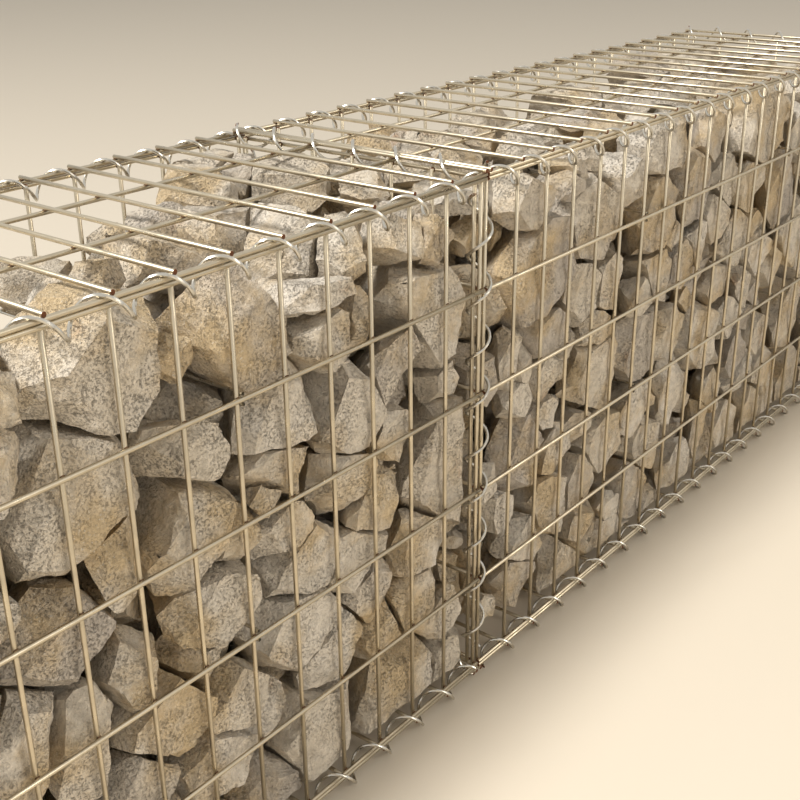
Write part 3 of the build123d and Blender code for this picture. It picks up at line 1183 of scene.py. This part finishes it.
def rough_textures():
    """Scallops, chips and grain of a broken face, each with the height that it gives."""
    # Scallops with a ridge between them, as a hammer breaks limestone
    scallops = bpy.data.textures.new("scallops", "VORONOI")
    scallops.noise_scale = 42 * MM
    scallops.distance_metric = "DISTANCE"
    made = [(scallops, 8 * MM)]
    for name, size, depth, strength in (("chips", 13 * MM, 2, 4.6 * MM), ("grain", 6 * MM, 1, 2.2 * MM)):
        texture = bpy.data.textures.new(name, "CLOUDS")
        texture.noise_scale = size
        texture.noise_depth = depth
        texture.noise_basis = "ORIGINAL_PERLIN"
        made.append((texture, strength))
    return made


# Patterns of the limestone: size of the swells, and detail and roughness of the noise
STONE_PATTERNS = {
    "clouds": (45 * MM, 4.0, 0.5),
    "skin": (80 * MM, 5.0, 0.6),
    "stain": (60 * MM, 5.0, 0.6),
    "crowding": (30 * MM, 3.0, 0.5),
    "mottle": (9 * MM, 5.0, 0.72),
    "pits": (2.2 * MM, 4.0, 0.75),
    "crystals": (1.8 * MM, 2.0, 0.6),
    "grain": (1.5 * MM, 2.0, 0.7),
}
# The range of a pattern that counts, and what its two ends give: cover, or shade for the mottle
STONE_COVERS = {
    "skin": (0.46, 0.62, 0.0, 0.85),
    "stain": (0.66, 0.78, 0.0, 0.7),
    "crowding": (0.38, 0.62, 0.25, 1.0),
    "mottle": (0.3, 0.7, 0.76, 1.12),
    "pits": (0.52, 0.7, 0.0, 0.6),
    "crystals": (0.6, 0.7, 0.0, 0.55),
}


def limestone(stones):
    """Broken limestone: matt, cream to grey where it is fresh, tan where the weathered skin is left,
    and full of fine pits and crystals."""
    material, tree = new_material("broken_limestone")
    place = add_node(tree, "ShaderNodeTexCoord").outputs["Object"]
    patterns = {}
    for name, (size, detail, roughness) in STONE_PATTERNS.items():
        patterns[name] = add_node(
            tree, "ShaderNodeTexNoise",
            {"Vector": place, "Scale": 1 / size, "Detail": detail, "Roughness": roughness},
        ).outputs["Fac"]
    covers = {}
    for name, (low, high, least, most) in STONE_COVERS.items():
        covers[name] = add_node(
            tree, "ShaderNodeMapRange",
            {"Value": patterns[name], "From Min": low, "From Max": high, "To Min": least, "To Max": most},
        ).outputs["Result"]
    # Pits about 1 to 2 mm wide are thick in patches only.
    covers["pits"] = add_node(
        tree, "ShaderNodeMath", {0: covers["pits"], 1: covers["crowding"]}, operation="MULTIPLY"
    ).outputs["Value"]
    # Fresh faces run from grey through beige to cream, stone by stone and in clouds.
    tone = add_node(tree, "ShaderNodeAttribute", attribute_name="tone")
    drift = add_node(
        tree, "ShaderNodeMath", {0: patterns["clouds"], 1: 0.8, 2: -0.4}, operation="MULTIPLY_ADD"
    )
    fresh_tone = add_node(
        tree, "ShaderNodeMath", {0: tone.outputs["Fac"], 1: drift.outputs["Value"]},
        operation="ADD", use_clamp=True,
    )
    ramp = add_node(tree, "ShaderNodeValToRGB", {"Fac": fresh_tone.outputs["Value"]})
    stops = ramp.color_ramp.elements
    stops[0].color = stones.grey
    stops[1].color = stones.beige
    for position, colour in ((0.35, stones.beige), (0.65, stones.cream)):
        stops.new(position).color = colour
    # The weathered skin lies over that in patches, then iron stains, pits and bright crystals.
    colour = ramp.outputs["Color"]
    for name, over in (
        ("skin", stones.skin), ("stain", stones.stain), ("pits", stones.pit), ("crystals", stones.crystal)
    ):
        colour = add_node(
            tree, "ShaderNodeMix", {0: covers[name], 6: colour, 7: over}, data_type="RGBA"
        ).outputs[2]
    shaded = add_node(
        tree, "ShaderNodeMix", {0: 1.0, 6: colour, 7: covers["mottle"]},
        data_type="RGBA", blend_type="MULTIPLY",
    )
    # Relief of the mottle, less the pits, with the grain on it
    height = add_node(
        tree, "ShaderNodeMath", {0: covers["pits"], 1: -0.9, 2: patterns["mottle"]}, operation="MULTIPLY_ADD"
    )
    height = add_node(
        tree, "ShaderNodeMath", {0: patterns["grain"], 1: 0.45, 2: height.outputs["Value"]},
        operation="MULTIPLY_ADD",
    )
    bump = add_node(
        tree, "ShaderNodeBump", {"Height": height.outputs["Value"], "Strength": 1.0, "Distance": 4 * MM}
    )
    shader = add_node(
        tree, "ShaderNodeBsdfPrincipled",
        {"Base Color": shaded.outputs[2], "Roughness": 0.92, "Specular IOR Level": 0.3,
         "Normal": bump.outputs["Normal"]},
    )
    add_node(tree, "ShaderNodeOutputMaterial", {"Surface": shader.outputs["BSDF"]})
    return material


class GABION_OT_stones(bpy.types.Operator):
    """Breaks and lays the stones of both bays"""

    bl_idname = "gabion.stones"
    bl_label = "Build stones"

    def execute(self, context):
        wires = context.scene.gabion_wires
        stones = context.scene.gabion_stones
        chance = random.Random(STONE_SEED)
        laid = []
        for group, grid in (
            (NEAR_FRONT_STONES, stones.fine_grid), (NEAR_TOP_STONES, stones.fine_grid),
            (FAR_FRONT_STONES, stones.far_grid), (FAR_TOP_STONES, stones.far_grid),
        ):
            laid += [seen_stone(Seen(*sight), grid, chance, stones) for sight in group.values()]
        laid += filling_stones(list(laid), chance, stones)
        tie_cuts = []
        for i, stone in enumerate(laid):
            laid[i], cuts = clear_of_ties(stone, self.bay_of(stone), wires)
            tie_cuts.append(cuts)
        tree = kdtree.KDTree(len(laid))
        for i, stone in enumerate(laid):
            tree.insert(stone.centre, i)
        tree.balance()
        widest = max(max(stone.half) for stone in laid)
        walls = {bay: basket_walls(bay, wires) for bay in BAYS}
        textures = rough_textures()
        batches = {bay: [] for bay in BAYS}
        for i, stone in enumerate(laid):
            around = tree.find_range(stone.centre, max(stone.half) + widest)
            neighbours = [laid[k] for _, k, _ in around if k != i]
            bay = self.bay_of(stone)
            cuts = cuts_for(stone, neighbours, walls[bay], tie_cuts[i], chance, stones)
            if min(distance for _, distance in cuts) < THINNEST_STONE:
                continue
            piece = broken_stone(stone, cuts, textures)
            if piece is not None:
                batches[bay].append(piece)
        material = limestone(stones)
        for bay, pieces in batches.items():
            self.join_batches(bay, pieces, material)
        return {"FINISHED"}

    def bay_of(self, stone):
        """The bays meet at the middle of the wall."""
        return BAYS[0] if stone.centre.x < 0 else BAYS[1]

    def join_batches(self, bay, pieces, material):
        """Joins a bay's stones into pieces under the size at which a mesh is thinned."""
        groups = [[]]
        count = 0
        for piece in pieces:
            triangles = sum(len(polygon.vertices) - 2 for polygon in piece.data.polygons)
            if count + triangles > PIECE_TRIANGLES:
                groups.append([])
                count = 0
            groups[-1].append(piece)
            count += triangles
        for number, group in enumerate(groups, 1):
            for piece in group:
                bpy.context.collection.objects.link(piece)
            made = joined(group)
            made.data.materials.append(material)
            finish_piece(
                made, f"limestone_{bay}_{number}", f"stone_fill_{bay}", STONE_SHARP_ANGLE
            )


# Stage
FLOOR_SIDE = 60.0
SKY_COLOUR = "#F4F2EE"
# Strength of the sky where the camera, metal or glass sees it
SEEN_SKY = 0.9
# Side of each lamp in metres, its place and its colour
KEY_LAMP = (1.3, (-4.4, 0.6, 5.6), (1.0, 0.97, 0.92))
FILL_LAMP = (3.0, (1.2, -6.0, 3.4), (1.0, 0.92, 0.8))
LAMP_AIM = (0, 0, 0.25)


class GABION_OT_stage(bpy.types.Operator):
    """Sets the floor, the soft studio light and the camera"""

    bl_idname = "gabion.stage"
    bl_label = "Set the stage"

    def execute(self, context):
        stage = context.scene.gabion_stage
        self.lay_floor(stage)
        self.light(context, stage)
        self.place_camera(context)
        context.scene.view_settings.view_transform = "Standard"
        return {"FINISHED"}

    def lay_floor(self, stage):
        deselect_all()
        bpy.ops.mesh.primitive_plane_add(size=FLOOR_SIDE)
        floor = bpy.context.active_object
        floor.name = "studio_floor"
        material, tree = new_material("studio_floor_paint")
        shader = add_node(tree, "ShaderNodeBsdfPrincipled", {"Base Color": stage.floor, "Roughness": 0.9})
        add_node(tree, "ShaderNodeOutputMaterial", {"Surface": shader.outputs["BSDF"]})
        floor.data.materials.append(material)

    def light(self, context, stage):
        for name, power, (size, place, colour) in (
            ("key", stage.key_power, KEY_LAMP), ("fill", stage.fill_power, FILL_LAMP)
        ):
            lamp = bpy.data.lights.new(name, "AREA")
            lamp.energy = power
            lamp.size = size
            lamp.color = colour
            holder = bpy.data.objects.new(name, lamp)
            holder.location = place
            holder.rotation_euler = (Vector(LAMP_AIM) - Vector(place)).to_track_quat("-Z", "Y").to_euler()
            context.collection.objects.link(holder)
        world = bpy.data.worlds.new("studio")
        world.use_nodes = True
        tree = world.node_tree
        tree.nodes.clear()
        rays = add_node(tree, "ShaderNodeLightPath").outputs
        seen = rays["Is Camera Ray"]
        for kind in ("Is Glossy Ray", "Is Transmission Ray"):
            seen = add_node(
                tree, "ShaderNodeMath", {0: seen, 1: rays[kind]}, operation="MAXIMUM"
            ).outputs["Value"]
        strength = add_node(
            tree, "ShaderNodeMapRange", {"Value": seen, "To Min": stage.sky, "To Max": SEEN_SKY}
        )
        sky = add_node(
            tree, "ShaderNodeBackground",
            {"Color": linear(SKY_COLOUR), "Strength": strength.outputs["Result"]},
        )
        add_node(tree, "ShaderNodeOutputWorld", {"Surface": sky.outputs["Background"]})
        context.scene.world = world

    def place_camera(self, context):
        camera = bpy.data.cameras.new("camera")
        camera.sensor_width = SENSOR_WIDTH
        camera.lens = FOCAL_PIXELS / IMAGE_SIZE * SENSOR_WIDTH
        camera.clip_start = 0.01
        camera.clip_end = 200.0
        holder = bpy.data.objects.new("camera", camera)
        holder.matrix_world = Matrix.Translation(CAMERA_PLACE) @ camera_turn().to_4x4()
        context.collection.objects.link(holder)
        context.scene.camera = holder


class GABION_PT_sidebar(bpy.types.Panel):
    """Lists the steps that build the wall"""

    bl_label = "Gabion Wall"
    bl_idname = "GABION_PT_sidebar"
    bl_space_type = "VIEW_3D"
    bl_region_type = "UI"
    bl_category = "Gabion Wall"

    def draw(self, context):
        scene = context.scene
        for settings, steps in (
            (scene.gabion_wires, ("gabion.welded_meshes", "gabion.lacing_spirals", "gabion.hooked_ties")),
            (scene.gabion_stones, ("gabion.stones",)),
            (scene.gabion_stage, ("gabion.stage",)),
        ):
            box = self.layout.box()
            for name in settings.__annotations__:
                box.prop(settings, name)
            for step in steps:
                box.operator(step)


CLASSES = (
    GabionWireSettings,
    GabionStoneSettings,
    GabionStageSettings,
    GABION_OT_welded_meshes,
    GABION_OT_lacing_spirals,
    GABION_OT_hooked_ties,
    GABION_OT_stones,
    GABION_OT_stage,
    GABION_PT_sidebar,
)


def register():
    for each in CLASSES:
        bpy.utils.register_class(each)
    bpy.types.Scene.gabion_wires = PointerProperty(type=GabionWireSettings)
    bpy.types.Scene.gabion_stones = PointerProperty(type=GabionStoneSettings)
    bpy.types.Scene.gabion_stage = PointerProperty(type=GabionStageSettings)


def unregister():
    del bpy.types.Scene.gabion_stage
    del bpy.types.Scene.gabion_stones
    del bpy.types.Scene.gabion_wires
    for each in reversed(CLASSES):
        bpy.utils.unregister_class(each)


def main():
    register()
    bpy.ops.gabion.welded_meshes()
    bpy.ops.gabion.lacing_spirals()
    bpy.ops.gabion.hooked_ties()
    bpy.ops.gabion.stones()
    bpy.ops.gabion.stage()


if __name__ == "__main__":
    main()
